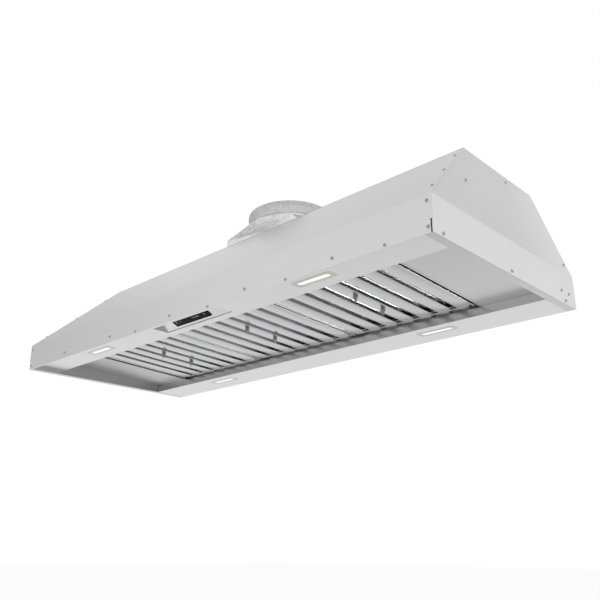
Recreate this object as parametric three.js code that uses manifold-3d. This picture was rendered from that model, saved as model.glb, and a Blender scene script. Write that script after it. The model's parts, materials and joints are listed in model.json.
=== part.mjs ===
// Range hood insert: a hipped sheet-metal liner with baffle filters, lamps, a slanted touch
// panel, a twin blower and a round duct collar with a backdraft damper.
// Millimetres. +X is the object's right, -Y its front, +Z up. The origin is on the bottom
// plane, at the middle of the body.
import * as THREE from 'three';
import { mergeVertices } from 'three/addons/utils/BufferGeometryUtils.js';
import { ConvexGeometry } from 'three/addons/geometries/ConvexGeometry.js';
import Module from 'manifold-3d';

const wasm = await Module();
wasm.setup();

// ---- Driving dimensions ----------------------------------------------------------------
// Body
const WIDTH = 1524; // 60 inches
const DEPTH = 598;
const ROOF_HEIGHT = 311;
const BAND_HEIGHT = 79; // upright band below the hips
const FRONT_RUN = 253; // how far the front slope leans back up to the roof
const REAR_RUN = 30;
const END_RUN = 67;
const SHEET = 1.5;
const GAP = 0.3; // clearance between pieces that touch
const PANEL_FLANGE = 20; // returns of the end panels, behind the front and rear panels
const ROOF_FLANGE = 18; // returns under the roof

// Underside
const RIM_WIDTH = 20; // left and right rims
const RIM_LEG_INNER = 60;
const RIM_LEG_OUTER = 30;
const FRONT_RAIL_DEPTH = 106; // light rails, front to back
const REAR_RAIL_DEPTH = 116;
const FRONT_RAIL_RISE = 12; // the front rail lies this far above the rim
const LOWER_BAND = 26; // visible height of the front rail's outer leg
const LEG_SETBACK = 0.5; // of that leg, behind the front panel's face
const LEG_END_GAP = 4; // open notch at each end of that leg
const LAP_HEIGHT = 20; // of the leg's joggle behind the front panel
const CEILING_FRONT = 40; // height of the filters' lower face at the front rail
const CEILING_REAR = 22; // and at the rear rail
const FRONT_UPSTAND = 85;
const HEM = 3.6; // folded lower edge of the front rail's leg
const JOGGLE = 0.6; // height of the step from that leg to its lap
const REAR_LEG = 40;

// Filters
const FILTER_COUNT = 3;
const BANK_MARGIN = 169.75; // between the bank of filters and a rim
const FILTER_SIDE_GAP = 5; // between neighbouring filters
const BAFFLES = 7;
const BAFFLE_SLOT = 17; // open slot between two lower baffles
const BAFFLE_HEIGHT = 4.5;
const BAFFLE_SHEET = 0.8;
const BAFFLE_CORNER = 13; // plan radius of a lower baffle's ends
const BAFFLE_CROWN = [[9, 0], [1, 0.8], [0, 1.8]]; // its underside: [inset, height] of each ring
const CAP_WIDTH = 42; // upper baffles, over the slots
const CAP_BOTTOM = 2.5;
const CAP_TOP = 15.8;
const FRAME_TOP = 17.5;
const FRAME_BAR = 14;
const FRAME_EDGE = 20; // the side bars' inner return
const FRAME_SKIRT = 1.5; // lower edge of their outer leg
const BAFFLE_SETBACK = 4; // from the rear ledge's tip to the lower baffles' ends
const LEDGE = 7.5; // the rear ledge that the filters hang on
const LEDGE_HEIGHT = 8; // above the filters' lower face
const FRONT_CLEARANCE = 3.5; // between a filter and the front rail's upstand
const REAR_CLEARANCE = 2;
const CATCH_WIDTH = 40;
const CATCH_SHEET = 0.8;
const CATCH_HEIGHT = 34;
const CATCH_BOW = 1.8;
const CATCH_DROP = 5; // below the top of the front rail's upstand
const FILLER_FLANGE = 20;
const STRIP_WIDTH = 11.4; // narrow channel between the bank and a filler panel
const STRIP_INSET = 1.25; // of that channel's edge, from the end of the bank
const STRIP_SEAM = 0.8; // open joint between that channel and the filler panel

// Pull knobs
const KNOB_SPACING = 106;
const KNOB_SHIFT = 4; // to the right of the filter's middle
const KNOB_LENGTH = 15.5;
const KNOB_BASE = 5.8; // radius where it bears on the baffle
const KNOB_BASE_HEIGHT = 8;
const KNOB_TIP = 3.4; // radius of its free end
const KNOB_STEPS = 16;

// Lamps
const LENS_LENGTH = 100;
const LENS_WIDTH = 20;
const LENS_THICKNESS = 3;
const LAMP_TRIM = 4; // rim of the housing, around the lens
const LAMP_FLANGE = 1.2;
const LAMP_EAR = 8;
const LAMP_HOUSING_HEIGHT = 20;
const LAMP_INSET = 338; // centres, from the ends of the body
const FRONT_LAMP_Y = 55; // from the front face
const REAR_LAMP_Y = 72; // from the rear face

// Touch panel
const POCKET_WIDTH = 264;
const POCKET_FRONT = 31; // front edge of the pocket, from the front face
const POCKET_REAR = 80;
const PLATE_SLOPE = 0.45; // rise over run, towards the front
const GLASS_LENGTH = 140;
const GLASS_WIDTH = 26;
const GLASS_THICKNESS = 2;
const GLASS_SHIFT = -8;
const GLASS_START = 9; // from the fold at the rear of the pocket, along the plate
const BOARD_THICKNESS = 9;
const POCKET_LIP = 10; // flanges of the slanted plate, on top of the rail

// Duct
const COLLAR_RADIUS = 127; // 10 inch duct
const COLLAR_RISE = 72; // lower edge of the collar, above the roof
const COLLAR_HEIGHT = 38;
const BOX_WIDTH = 270; // square base of the transition
const BOX_RISE = 35; // its upright part, above the roof
const BOX_FLANGE = 15;
const BOX_LIP = 8; // roof sheet left inside the box
const ROUND_STEPS = 48;

// Backdraft damper
const DAMPER_RISE = 19; // axle, above the collar's lower edge
const AXLE_RADIUS = 2.5;
const SLEEVE_RADIUS = 4.2;
const FLAP_CLEARANCE = 1.6;
const FLAP_THICKNESS = 1.2;
const RUNNING_CLEARANCE = 0.25;

// Blower
const ROTOR_AHEAD = 66.5; // axis, in front of the middle of the roof
const ROTOR_DROP = 126; // and below the roof
const WHEEL_RADIUS = 72;
const WHEEL_WIDTH = 64;
const WHEEL_HUB = 12;
const BLADES = 22;
const BLADE_DEPTH = 13;
const SCROLL_START = 80; // radius of the volute at its cut-off
const SCROLL_END = 108; // and at its outlet
const SCROLL_INNER_X = 58;
const SCROLL_WIDTH = 76;
const INLET_RADIUS = 56;
const INLET_STEPS = 32;
const SHAFT_HOLE = 18;
const SCROLL_RIM = 10;
const VOLUTE_STEPS = 26;
const HUB_LENGTH = 24;
const BLADE_LEAN = 0.14; // radians
const BLADE_ARC = 0.02;
const SHAFT_RADIUS = 4;
const MOTOR_RADIUS = 48;
const MOTOR_LENGTH = 96;
const CRADLE_WIDTH = 26;
const PAN_DROP = 12; // plenum height between the blower pan and the roof
const PAN_LENGTH = 340;
const PAN_DEPTH = 264;
const PAN_FLANGE = 14;

// Wiring boxes, under the roof
const JUNCTION_BOX = new THREE.Vector3(110, 80, 45);
const JUNCTION_X = -300;
const POWER_MODULE = new THREE.Vector3(160, 90, 40);
const POWER_X = 310;
const LED_DRIVER = new THREE.Vector3(120, 40, 28);
const DRIVER_X = 490;
const WIRING_BEHIND = 18.5; // all three, behind the middle of the roof
const GLAND_RADIUS = 11;
const CABLE_HOLE = 4;

// Keyholes in the rear panel
const KEYHOLE_INSET = 162; // from the ends of the body
const KEYHOLE_Z = 46;
const KEYHOLE_RADIUS = 7;
const KEYHOLE_SLOT = 7;
const KEYHOLE_RISE = 16;

// ---- Places that follow from them ------------------------------------------------------
const FRONT = -DEPTH / 2;
const REAR = DEPTH / 2;
const END = WIDTH / 2;
const FRONT_EDGE = FRONT + FRONT_RAIL_DEPTH; // inner edge of the front rail
const REAR_EDGE = REAR - REAR_RAIL_DEPTH; // and of the rear rail
const INNER_END = END - RIM_WIDTH; // inner face of the rims
const ROOF_Y = (FRONT + FRONT_RUN + REAR - REAR_RUN) / 2; // middle of the roof
const TILT = Math.atan2(CEILING_REAR - CEILING_FRONT, REAR_EDGE - FRONT_EDGE);
const BANK_HALF = INNER_END - BANK_MARGIN;
const FILTER_PITCH = (2 * BANK_HALF) / FILTER_COUNT;
const LAMP_X = END - LAMP_INSET;
const KEYHOLE_X = END - KEYHOLE_INSET;
const WIRING_Y = ROOF_Y + WIRING_BEHIND;
const BOX_TOP = ROOF_HEIGHT + BOX_RISE;
const COLLAR_BOTTOM = ROOF_HEIGHT + COLLAR_RISE;
const COLLAR_TOP = COLLAR_BOTTOM + COLLAR_HEIGHT;
const DAMPER_Z = COLLAR_BOTTOM + DAMPER_RISE;
const ROTOR_Y = ROOF_Y - ROTOR_AHEAD;
const ROTOR_Z = ROOF_HEIGHT - ROTOR_DROP;
const SEAT = SHEET + GAP;
const SIDES = [['left', -1], ['right', 1]];

// ---- Materials -------------------------------------------------------------------------
const finish = (color, roughness, metalness) =>
  new THREE.MeshStandardMaterial({ color, roughness, metalness });
const STEEL = finish(0xc9cacc, 0.35, 1);
const BRIGHT = finish(0xb9babc, 0.25, 1);
const GALVANISED = finish(0xa9adb0, 0.5, 0.9);
const LENS = finish(0xfff1d8, 0.4, 0);
const GLASS = finish(0x101214, 0.08, 0);
const PLASTIC = finish(0x25272a, 0.55, 0);
const ENAMEL = finish(0x1d1e20, 0.45, 0.3);

// ---- Shape helpers ---------------------------------------------------------------------
// A closed three.js geometry as a solid.
function solid(geometry) {
  const bare = geometry.clone();
  for (const name of Object.keys(bare.attributes)) {
    if (name !== 'position') bare.deleteAttribute(name);
  }
  const merged = mergeVertices(bare, 1e-4);
  const mesh = new wasm.Mesh({
    numProp: 3,
    vertProperties: new Float32Array(merged.attributes.position.array),
    triVerts: new Uint32Array(merged.index.array),
  });
  return new wasm.Manifold(mesh);
}

// The solid as a three.js geometry with flat normals.
function toGeometry(body) {
  const mesh = body.getMesh();
  const geometry = new THREE.BufferGeometry();
  geometry.setAttribute('position', new THREE.BufferAttribute(mesh.vertProperties, 3));
  geometry.setIndex(new THREE.BufferAttribute(mesh.triVerts, 1));
  const flat = geometry.toNonIndexed();
  flat.computeVertexNormals();
  return flat;
}

const join = (...bodies) => bodies.reduce((sum, body) => sum.add(body));
const cut = (body, ...tools) => tools.reduce((rest, tool) => rest.subtract(tool), body);

function box(x0, x1, y0, y1, z0, z1) {
  const geometry = new THREE.BoxGeometry(x1 - x0, y1 - y0, z1 - z0);
  return solid(geometry.translate((x0 + x1) / 2, (y0 + y1) / 2, (z0 + z1) / 2));
}

const inOrder = (a, b) => (a < b ? [a, b] : [b, a]);
const pointsOf = (list) => list.map(([a, b]) => new THREE.Vector2(a, b));

// A flat outline, pushed straight along one axis between two places.
function push(outline, axis, from, to) {
  const shape = new THREE.Shape(pointsOf(outline));
  const options = { depth: to - from, bevelEnabled: false };
  const geometry = new THREE.ExtrudeGeometry(shape, options);
  const turn = new THREE.Matrix4();
  if (axis === 'x') turn.set(0, 0, 1, from, 1, 0, 0, 0, 0, 1, 0, 0, 0, 0, 0, 1);
  if (axis === 'y') turn.set(1, 0, 0, 0, 0, 0, -1, to, 0, 1, 0, 0, 0, 0, 0, 1);
  if (axis === 'z') turn.makeTranslation(0, 0, from);
  return solid(geometry.applyMatrix4(turn));
}

// The outline of a bent sheet: a line of folds, given thickness on its left-hand side.
function bentSheet(folds, thickness) {
  const line = pointsOf(folds);
  const sideOf = (a, b) => {
    const run = b.clone().sub(a).normalize();
    return new THREE.Vector2(-run.y, run.x);
  };
  const far = line.map((point, i) => {
    const before = i > 0 ? sideOf(line[i - 1], point) : null;
    const after = i < line.length - 1 ? sideOf(point, line[i + 1]) : null;
    const one = before ?? after;
    const two = after ?? before;
    const mitre = one.clone().add(two).normalize();
    return point.clone().addScaledVector(mitre, thickness / mitre.dot(one));
  });
  return [...line, ...far.reverse()].map((point) => point.toArray());
}

// A turned piece: profile points are [radius, place along the axis].
function turned(profile, steps, axis, centre) {
  const geometry = new THREE.LatheGeometry(pointsOf(profile), steps);
  if (axis === 'x') geometry.rotateZ(-Math.PI / 2);
  if (axis === 'z') geometry.rotateX(Math.PI / 2);
  const body = solid(geometry.translate(...centre));
  return body.volume() < 0 ? solid(flipped(geometry)) : body;
}

function flipped(geometry) {
  const copy = geometry.clone();
  const index = copy.index.array;
  for (let i = 0; i < index.length; i += 3) {
    [index[i], index[i + 1]] = [index[i + 1], index[i]];
  }
  return copy;
}

const rod = (radius, from, to, axis, centre, steps = 20) =>
  turned([[0, from], [radius, from], [radius, to], [0, to]], steps, axis, centre);
const tube = (inner, outer, from, to, axis, centre, steps = 20) =>
  turned([[inner, from], [outer, from], [outer, to], [inner, to], [inner, from]],
    steps, axis, centre);

// ---- Assembly --------------------------------------------------------------------------
const hood = new THREE.Group();
const add = (name, body, material) => {
  const mesh = new THREE.Mesh(toGeometry(body), material);
  mesh.name = name;
  hood.add(mesh);
  return mesh;
};

// ---- Shell -----------------------------------------------------------------------------
// The body's hipped form, with each group of faces moved inwards by its own amount.
function hipped({ front = 0, rear = 0, ends = 0, roof = 0, bottom = 0 }) {
  const rise = ROOF_HEIGHT - BAND_HEIGHT;
  const planes = [];
  const plane = (normal, point, inset) => {
    const unit = normal.normalize();
    planes.push({ unit, reach: unit.dot(point) - inset });
  };
  const V = (x, y, z) => new THREE.Vector3(x, y, z);
  plane(V(0, -1, 0), V(0, FRONT, 0), front);
  plane(V(0, -rise, FRONT_RUN), V(0, FRONT, BAND_HEIGHT), front);
  plane(V(0, 1, 0), V(0, REAR, 0), rear);
  plane(V(0, rise, REAR_RUN), V(0, REAR, BAND_HEIGHT), rear);
  for (const side of [-1, 1]) {
    plane(V(side, 0, 0), V(side * END, 0, 0), ends);
    plane(V(side * rise, 0, END_RUN), V(side * END, 0, BAND_HEIGHT), ends);
  }
  plane(V(0, 0, 1), V(0, 0, ROOF_HEIGHT), roof);
  plane(V(0, 0, -1), V(0, 0, 0), bottom);
  return solid(new ConvexGeometry(cornersOf(planes)));
}

// Corners of the space that all planes enclose.
function cornersOf(planes) {
  const corners = [];
  const system = new THREE.Matrix3();
  for (let i = 0; i < planes.length; i += 1) {
    for (let j = i + 1; j < planes.length; j += 1) {
      for (let k = j + 1; k < planes.length; k += 1) {
        const [a, b, c] = [planes[i], planes[j], planes[k]];
        system.set(...a.unit.toArray(), ...b.unit.toArray(), ...c.unit.toArray());
        if (Math.abs(system.determinant()) < 1e-6) continue;
        const corner = new THREE.Vector3(a.reach, b.reach, c.reach);
        corner.applyMatrix3(system.clone().invert());
        const inside = planes.every((p) => p.unit.dot(corner) < p.reach + 1e-6);
        if (inside && corners.every((p) => p.distanceTo(corner) > 1e-3)) corners.push(corner);
      }
    }
  }
  return corners;
}

const THROUGH = 20; // reach of a cutting form past the sheet it goes through
const OUTSIDE = -5; // lets a cutting form stand proud of what it cuts
const CLEAR = { front: OUTSIDE, rear: OUTSIDE, ends: OUTSIDE, roof: OUTSIDE, bottom: OUTSIDE };
const allBut = (side, inset) => hipped({ ...CLEAR, [side]: inset });

// One sheet of a body form along one side, and a narrow return of such a sheet at an edge.
const layer = (form, side) => cut(hipped(form), allBut(side, (form[side] ?? 0) + SHEET));
const flange = (form, side, edge, width) => cut(layer(form, side), allBut(edge, width));

function addShell() {
  // Roof, with the duct opening and the hole for the cable gland.
  const half = BOX_WIDTH / 2 - BOX_LIP;
  const opening = box(-half, half, ROOF_Y - half, ROOF_Y + half, ROOF_HEIGHT - THROUGH,
    ROOF_HEIGHT + THROUGH);
  add('roof_panel', cut(layer({}, 'roof'), opening, glandHole()), STEEL);

  // Front and rear panels, each with a return under the roof.
  const under = { roof: SEAT };
  const shelf = { roof: SEAT, ends: SEAT };
  const lowerCut = box(-END - 5, END + 5, FRONT - 5, FRONT + THROUGH, -5, LOWER_BAND);
  const front = join(layer(under, 'front'), flange(shelf, 'roof', 'front', ROOF_FLANGE));
  add('front_panel', cut(front, lowerCut), STEEL);
  const rear = join(layer(under, 'rear'), flange(shelf, 'roof', 'rear', ROOF_FLANGE));
  add('rear_panel', cut(rear, ...keyholes()), STEEL);

  // End panels between them, with returns behind both and under the roof.
  const between = { roof: SEAT, front: SEAT, rear: SEAT };
  const below = { roof: 2 * SEAT, front: SEAT, rear: SEAT };
  const tucked = { roof: 2 * SEAT, front: 2 * SEAT, rear: 2 * SEAT };
  const pair = join(
    layer(between, 'ends'),
    flange(below, 'front', 'ends', PANEL_FLANGE),
    flange(below, 'rear', 'ends', PANEL_FLANGE),
    flange(tucked, 'roof', 'ends', ROOF_FLANGE),
  );
  for (const [name, side] of SIDES) {
    add(`${name}_end_panel`, cut(halfOf(pair, side), ...returnTrims(side)), STEEL);
  }
}

function halfOf(body, side) {
  const [x0, x1] = side < 0 ? [-END - 5, 0] : [0, END + 5];
  return body.intersect(box(x0, x1, FRONT - 5, REAR + 5, -5, ROOF_HEIGHT + 5));
}

// The end panels' front and rear returns stop above the rim channel.
function returnTrims(side) {
  const [x0, x1] = inOrder(side * (END - SEAT), side * (END - 2 * PANEL_FLANGE));
  return [
    box(x0, x1, FRONT - 5, FRONT + 4 * SHEET, -5, RIM_LEG_OUTER + GAP),
    box(x0, x1, REAR - 4 * SHEET, REAR + 5, -5, RIM_LEG_INNER + GAP),
  ];
}

// Keyholes in the rear panel's upright band, for screws in the wall.
function keyholes() {
  return [-KEYHOLE_X, KEYHOLE_X].flatMap((x) => [
    rod(KEYHOLE_RADIUS, -10, 10, 'y', [x, REAR, KEYHOLE_Z]),
    box(x - KEYHOLE_SLOT / 2, x + KEYHOLE_SLOT / 2, REAR - 10, REAR + 10,
      KEYHOLE_Z, KEYHOLE_Z + KEYHOLE_RISE),
  ]);
}

const glandHole = () =>
  rod(GLAND_RADIUS + GAP, ROOF_HEIGHT - THROUGH, ROOF_HEIGHT + THROUGH, 'z',
    [JUNCTION_X, WIRING_Y, 0]);

// ---- Underside frame -------------------------------------------------------------------
const RAIL_END = INNER_END - GAP;
const LEG_FACE = FRONT + LEG_SETBACK;
const LEG_TOP = LOWER_BAND - GAP;
const POCKET_HALF = POCKET_WIDTH / 2;
const REAR_LEDGE_Z = CEILING_REAR + LEDGE_HEIGHT; // underside of the ledge

function addFrontRail() {
  const lip = [[LEG_FACE, LEG_TOP - JOGGLE], [LEG_FACE, 0], [LEG_FACE + HEM, 0],
    [LEG_FACE + HEM, FRONT_RAIL_RISE]];
  const rail = [[FRONT + SEAT, LOWER_BAND + LAP_HEIGHT], [FRONT + SEAT, LEG_TOP], ...lip,
    [FRONT_EDGE, FRONT_RAIL_RISE], [FRONT_EDGE, FRONT_UPSTAND]];
  const legEnd = END - LEG_END_GAP;
  const body = join(
    push(bentSheet(rail, SHEET), 'x', -RAIL_END, RAIL_END),
    push(bentSheet(lip, SHEET), 'x', -legEnd, legEnd),
  );
  const pocket = box(-POCKET_HALF, POCKET_HALF, FRONT + POCKET_FRONT, FRONT + POCKET_REAR,
    FRONT_RAIL_RISE - 5, FRONT_RAIL_RISE + 5);
  const lampHoles = [-LAMP_X, LAMP_X].map((x) =>
    lampHole(x, FRONT + FRONT_LAMP_Y, FRONT_RAIL_RISE));
  add('front_light_rail', cut(body, pocket, ...lampHoles), STEEL);
}

function addRearRail() {
  const rail = [[REAR_EDGE - LEDGE, REAR_LEDGE_Z], [REAR_EDGE, REAR_LEDGE_Z], [REAR_EDGE, 0],
    [REAR - SEAT, 0], [REAR - SEAT, REAR_LEG]];
  const lampHoles = [-LAMP_X, LAMP_X].map((x) => lampHole(x, REAR - REAR_LAMP_Y, 0));
  const body = push(bentSheet(rail, SHEET), 'x', -RAIL_END, RAIL_END);
  add('rear_light_rail', cut(body, ...lampHoles), STEEL);
}

function addRims() {
  const channel = [[INNER_END, RIM_LEG_INNER], [INNER_END, 0], [END - SEAT, 0],
    [END - SEAT, RIM_LEG_OUTER]];
  for (const [name, side] of SIDES) {
    const folds = side > 0 ? channel : channel.map(([x, z]) => [-x, z]).reverse();
    const start = LEG_FACE + HEM + GAP;
    add(`${name}_rim_channel`, push(bentSheet(folds, SHEET), 'y', start, REAR - SEAT), STEEL);
  }
}

const LEAN = LEDGE_HEIGHT * Math.sin(-TILT); // how far their upright flanges lean to the rear

// A flanged tray in the filters' sloping plane, between two places along the width.
function ceilingTray(from, to) {
  const [x0, x1] = inOrder(from, to);
  const [y0, y1] = [-SLOPE_LENGTH + GAP, -GAP - LEAN];
  const clearOfLedge = -LEDGE - 1;
  return join(
    box(x0, x1, y0, y1, 0, SHEET),
    box(x0, x1, y0, y0 + SHEET, 0, FILLER_FLANGE),
    box(x0, x1, y1 - SHEET, y1, 0, LEDGE_HEIGHT - 2 * GAP),
    box(x0, x0 + SHEET, y0, clearOfLedge, 0, FILLER_FLANGE),
    box(x1 - SHEET, x1, y0, clearOfLedge, 0, FILLER_FLANGE),
  );
}

// Between the filters and each rim: a narrow strip, then a plain panel.
function addFillers() {
  for (const [name, side] of SIDES) {
    const strip = BANK_HALF - STRIP_INSET;
    const panel = strip + STRIP_WIDTH + STRIP_SEAM;
    const narrow = ceilingTray(side * strip, side * (strip + STRIP_WIDTH));
    onCeiling(add(`${name}_bank_strip`, narrow, STEEL), 0);
    const wide = ceilingTray(side * panel, side * (INNER_END - GAP));
    onCeiling(add(`${name}_filler_panel`, wide, STEEL), 0);
  }
}

// Puts a mesh modelled flat onto the sloping ceiling: its y runs from the rear rail forwards.
function onCeiling(mesh, x) {
  mesh.position.set(x, REAR_EDGE, CEILING_REAR);
  mesh.rotation.x = TILT;
  return mesh;
}

// ---- Lamps -----------------------------------------------------------------------------
const LAMP_OPENING_LENGTH = LENS_LENGTH + 2 * LAMP_TRIM;
const LAMP_OPENING_WIDTH = LENS_WIDTH + 2 * LAMP_TRIM;

const centredBox = (x, y, length, width, z0, z1) =>
  box(x - length / 2, x + length / 2, y - width / 2, y + width / 2, z0, z1);
const lampHole = (x, y, z) =>
  centredBox(x, y, LAMP_OPENING_LENGTH, LAMP_OPENING_WIDTH, z - 5, z + 5);

// A housing lies on top of the rail; its rim fills the opening around the lens.
function addLamp(name, x, y, z) {
  const [length, width] = [LAMP_OPENING_LENGTH - 2 * GAP, LAMP_OPENING_WIDTH - 2 * GAP];
  const top = z + SEAT + LAMP_HOUSING_HEIGHT;
  const housing = join(
    centredBox(x, y, length, width, z + GAP, top),
    centredBox(x, y, length + 2 * LAMP_EAR, width + LAMP_TRIM, z + SEAT, z + SEAT + LAMP_FLANGE),
  );
  const seat = z + GAP + LENS_THICKNESS;
  const pocket = centredBox(x, y, LENS_LENGTH + 2 * GAP, LENS_WIDTH + 2 * GAP, z - 5, seat + GAP);
  add(`${name}_lamp_housing`, cut(housing, pocket), GALVANISED);
  add(`${name}_lamp_lens`, centredBox(x, y, LENS_LENGTH, LENS_WIDTH, z + GAP, seat), LENS);
}

function addLamps() {
  for (const [name, side] of SIDES) {
    addLamp(`front_${name}`, side * LAMP_X, FRONT + FRONT_LAMP_Y, FRONT_RAIL_RISE);
    addLamp(`rear_${name}`, side * LAMP_X, REAR - REAR_LAMP_Y, 0);
  }
}

// ---- Touch panel -----------------------------------------------------------------------
function addTouchPanel() {
  const seat = FRONT_RAIL_RISE + SEAT;
  const fold = FRONT + POCKET_REAR;
  const wall = FRONT + POCKET_FRONT - 2;
  const wallTop = seat + (fold - wall) * PLATE_SLOPE;
  const plate = [[wall - POCKET_LIP, seat], [wall, seat], [wall, wallTop], [fold, seat],
    [fold + POCKET_LIP, seat]];
  const cheek = [[wall, seat], [fold, seat], [wall, wallTop]];
  const outer = POCKET_HALF + SHEET;
  const cheeks = [-1, 1].map((side) =>
    push(cheek, 'x', ...inOrder(side * POCKET_HALF, side * outer)));
  const body = join(push(bentSheet(plate, SHEET), 'x', -outer, outer), ...cheeks);
  add('control_plate', body, STEEL);

  // A slab parallel to the plate: along it from the fold, and below (+) or above (-) it.
  const slope = Math.atan(PLATE_SLOPE);
  const at = (along, below) => [
    fold - along * Math.cos(slope) - below * Math.sin(slope),
    seat + along * Math.sin(slope) - below * Math.cos(slope),
  ];
  const slab = (a0, a1, b0, b1) => [at(a0, b0), at(a1, b0), at(a1, b1), at(a0, b1)];
  const glass = slab(GLASS_START, GLASS_START + GLASS_WIDTH, GAP, GAP + GLASS_THICKNESS);
  const half = GLASS_LENGTH / 2;
  add('touch_glass', push(glass, 'x', GLASS_SHIFT - half, GLASS_SHIFT + half), GLASS);
  const board = slab(GLASS_START, GLASS_START + GLASS_WIDTH, -SEAT - BOARD_THICKNESS, -SEAT);
  add('touch_board', push(board, 'x', GLASS_SHIFT - half, GLASS_SHIFT + half), PLASTIC);
}

// ---- Baffle filters --------------------------------------------------------------------
const SLOPE_LENGTH = (REAR_EDGE - FRONT_EDGE) / Math.cos(TILT);
const FILTER_FRONT = -SLOPE_LENGTH + FRONT_CLEARANCE;
const FILTER_WIDTH = FILTER_PITCH - FILTER_SIDE_GAP;
const FRAME_BOTTOM = LEDGE_HEIGHT + SHEET + GAP;
const BAFFLE_PITCH = FILTER_PITCH / BAFFLES;
const BAFFLE_WIDTH = BAFFLE_PITCH - BAFFLE_SLOT;

// A ring of points round a rounded rectangle.
function roundedRing(x0, x1, y0, y1, radius, z, steps) {
  const points = [];
  const corners = [[x1, y1, 0], [x0, y1, 1], [x0, y0, 2], [x1, y0, 3]];
  for (const [x, y, quarter] of corners) {
    const inX = x === x1 ? -radius : radius;
    const inY = y === y1 ? -radius : radius;
    for (let step = 0; step <= steps; step += 1) {
      const angle = (quarter + step / steps) * (Math.PI / 2);
      points.push(new THREE.Vector3(
        x + inX + radius * Math.cos(angle), y + inY + radius * Math.sin(angle), z));
    }
  }
  return points;
}

// A lower baffle: a pressed pan with rounded ends and a crowned underside, open on top.
function lowerBaffle(x) {
  const [y0, y1] = [FILTER_FRONT, -LEDGE - BAFFLE_SETBACK];
  const [x0, x1] = [x - BAFFLE_WIDTH / 2, x + BAFFLE_WIDTH / 2];
  const form = (inset, floor, top, steps) => {
    const ring = (by, z) => roundedRing(x0 + by, x1 - by, y0 + by, y1 - by,
      Math.max(BAFFLE_CORNER - by, 1), z, steps);
    const rings = BAFFLE_CROWN.map(([narrower, z]) => ring(narrower + inset, z + floor));
    return solid(new ConvexGeometry([...rings.flat(), ...ring(inset, top)]));
  };
  return cut(form(0, 0, BAFFLE_HEIGHT, 2), form(BAFFLE_SHEET, BAFFLE_SHEET, BAFFLE_HEIGHT + 2, 1));
}

// An upper baffle: a straight channel, upside down over a slot.
function upperBaffle(x) {
  const half = CAP_WIDTH / 2;
  const folds = [[x + half, CAP_BOTTOM], [x + half, CAP_TOP], [x - half, CAP_TOP],
    [x - half, CAP_BOTTOM]];
  const [y0, y1] = [FILTER_FRONT + BAFFLE_SHEET / 2, -REAR_CLEARANCE - BAFFLE_SHEET / 2];
  return push(bentSheet(folds, BAFFLE_SHEET), 'y', y0, y1);
}

// The frame: a channel across each end and a hooked bar along each side.
function filterFrame() {
  const bar = (from, to) => {
    const folds = [[from, FRAME_BOTTOM], [to, FRAME_BOTTOM], [to, FRAME_TOP], [from, FRAME_TOP]];
    const outline = bentSheet(to > from ? folds : folds.reverse(), BAFFLE_SHEET);
    return push(outline, 'x', -FILTER_WIDTH / 2, FILTER_WIDTH / 2);
  };
  const rear = bar(-REAR_CLEARANCE - FRAME_BAR, -REAR_CLEARANCE);
  const front = bar(FILTER_FRONT + FRAME_BAR, FILTER_FRONT);
  const half = FILTER_WIDTH / 2;
  const side = [[half, FRAME_SKIRT], [half, FRAME_TOP], [half - FRAME_EDGE, FRAME_TOP],
    [half - FRAME_EDGE, CAP_BOTTOM]];
  const mirrored = side.map(([x, z]) => [-x, z]).reverse();
  const bars = [side, mirrored].map((folds) =>
    push(bentSheet(folds, BAFFLE_SHEET), 'y', FILTER_FRONT, -REAR_CLEARANCE));
  return join(rear, front, ...bars);
}

function addFilters() {
  const places = [...Array(BAFFLES).keys()].map((i) => (i - (BAFFLES - 1) / 2) * BAFFLE_PITCH);
  const slots = places.slice(1).map((x) => x - BAFFLE_PITCH / 2);
  const ledgeClear = box(-FILTER_WIDTH, FILTER_WIDTH, -LEDGE - BAFFLE_SETBACK, 5, -5, FRAME_BOTTOM);
  const whole = join(filterFrame(), ...places.map(lowerBaffle), ...slots.map(upperBaffle));
  const filter = cut(whole, ledgeClear);
  const profile = [[0, -KNOB_LENGTH], [KNOB_TIP - 0.8, -KNOB_LENGTH],
    [KNOB_TIP, -KNOB_LENGTH + 1], [KNOB_TIP, -KNOB_BASE_HEIGHT - 1],
    [KNOB_BASE - 1, -KNOB_BASE_HEIGHT], [KNOB_BASE, -KNOB_BASE_HEIGHT + 1.5],
    [KNOB_BASE, -GAP], [0, -GAP]];
  const middle = FILTER_FRONT / 2;
  for (let i = 0; i < FILTER_COUNT; i += 1) {
    const x = (i - (FILTER_COUNT - 1) / 2) * FILTER_PITCH;
    onCeiling(add(`baffle_filter_${i + 1}`, filter, STEEL), x);
    for (const [place, side] of [['front', -1], ['rear', 1]]) {
      const centre = [KNOB_SHIFT, middle + (side * KNOB_SPACING) / 2, 0];
      const knob = turned(profile, KNOB_STEPS, 'z', centre);
      onCeiling(add(`filter_knob_${i + 1}_${place}`, knob, BRIGHT), x);
    }
    addCatch(i + 1, x);
  }
}

// A spring leaf on the front rail's upstand that bears on the filter's front edge.
function addCatch(number, x) {
  const root = FRONT_EDGE + GAP;
  const top = FRONT_UPSTAND - CATCH_DROP;
  const leaf = [[root, top], [root, top - CATCH_HEIGHT * 0.45],
    [root + CATCH_BOW, top - CATCH_HEIGHT * 0.78], [root + 0.4, top - CATCH_HEIGHT]];
  const body = push(bentSheet(leaf, CATCH_SHEET), 'x', x - CATCH_WIDTH / 2, x + CATCH_WIDTH / 2);
  add(`filter_catch_${number}`, body, BRIGHT);
}

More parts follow.
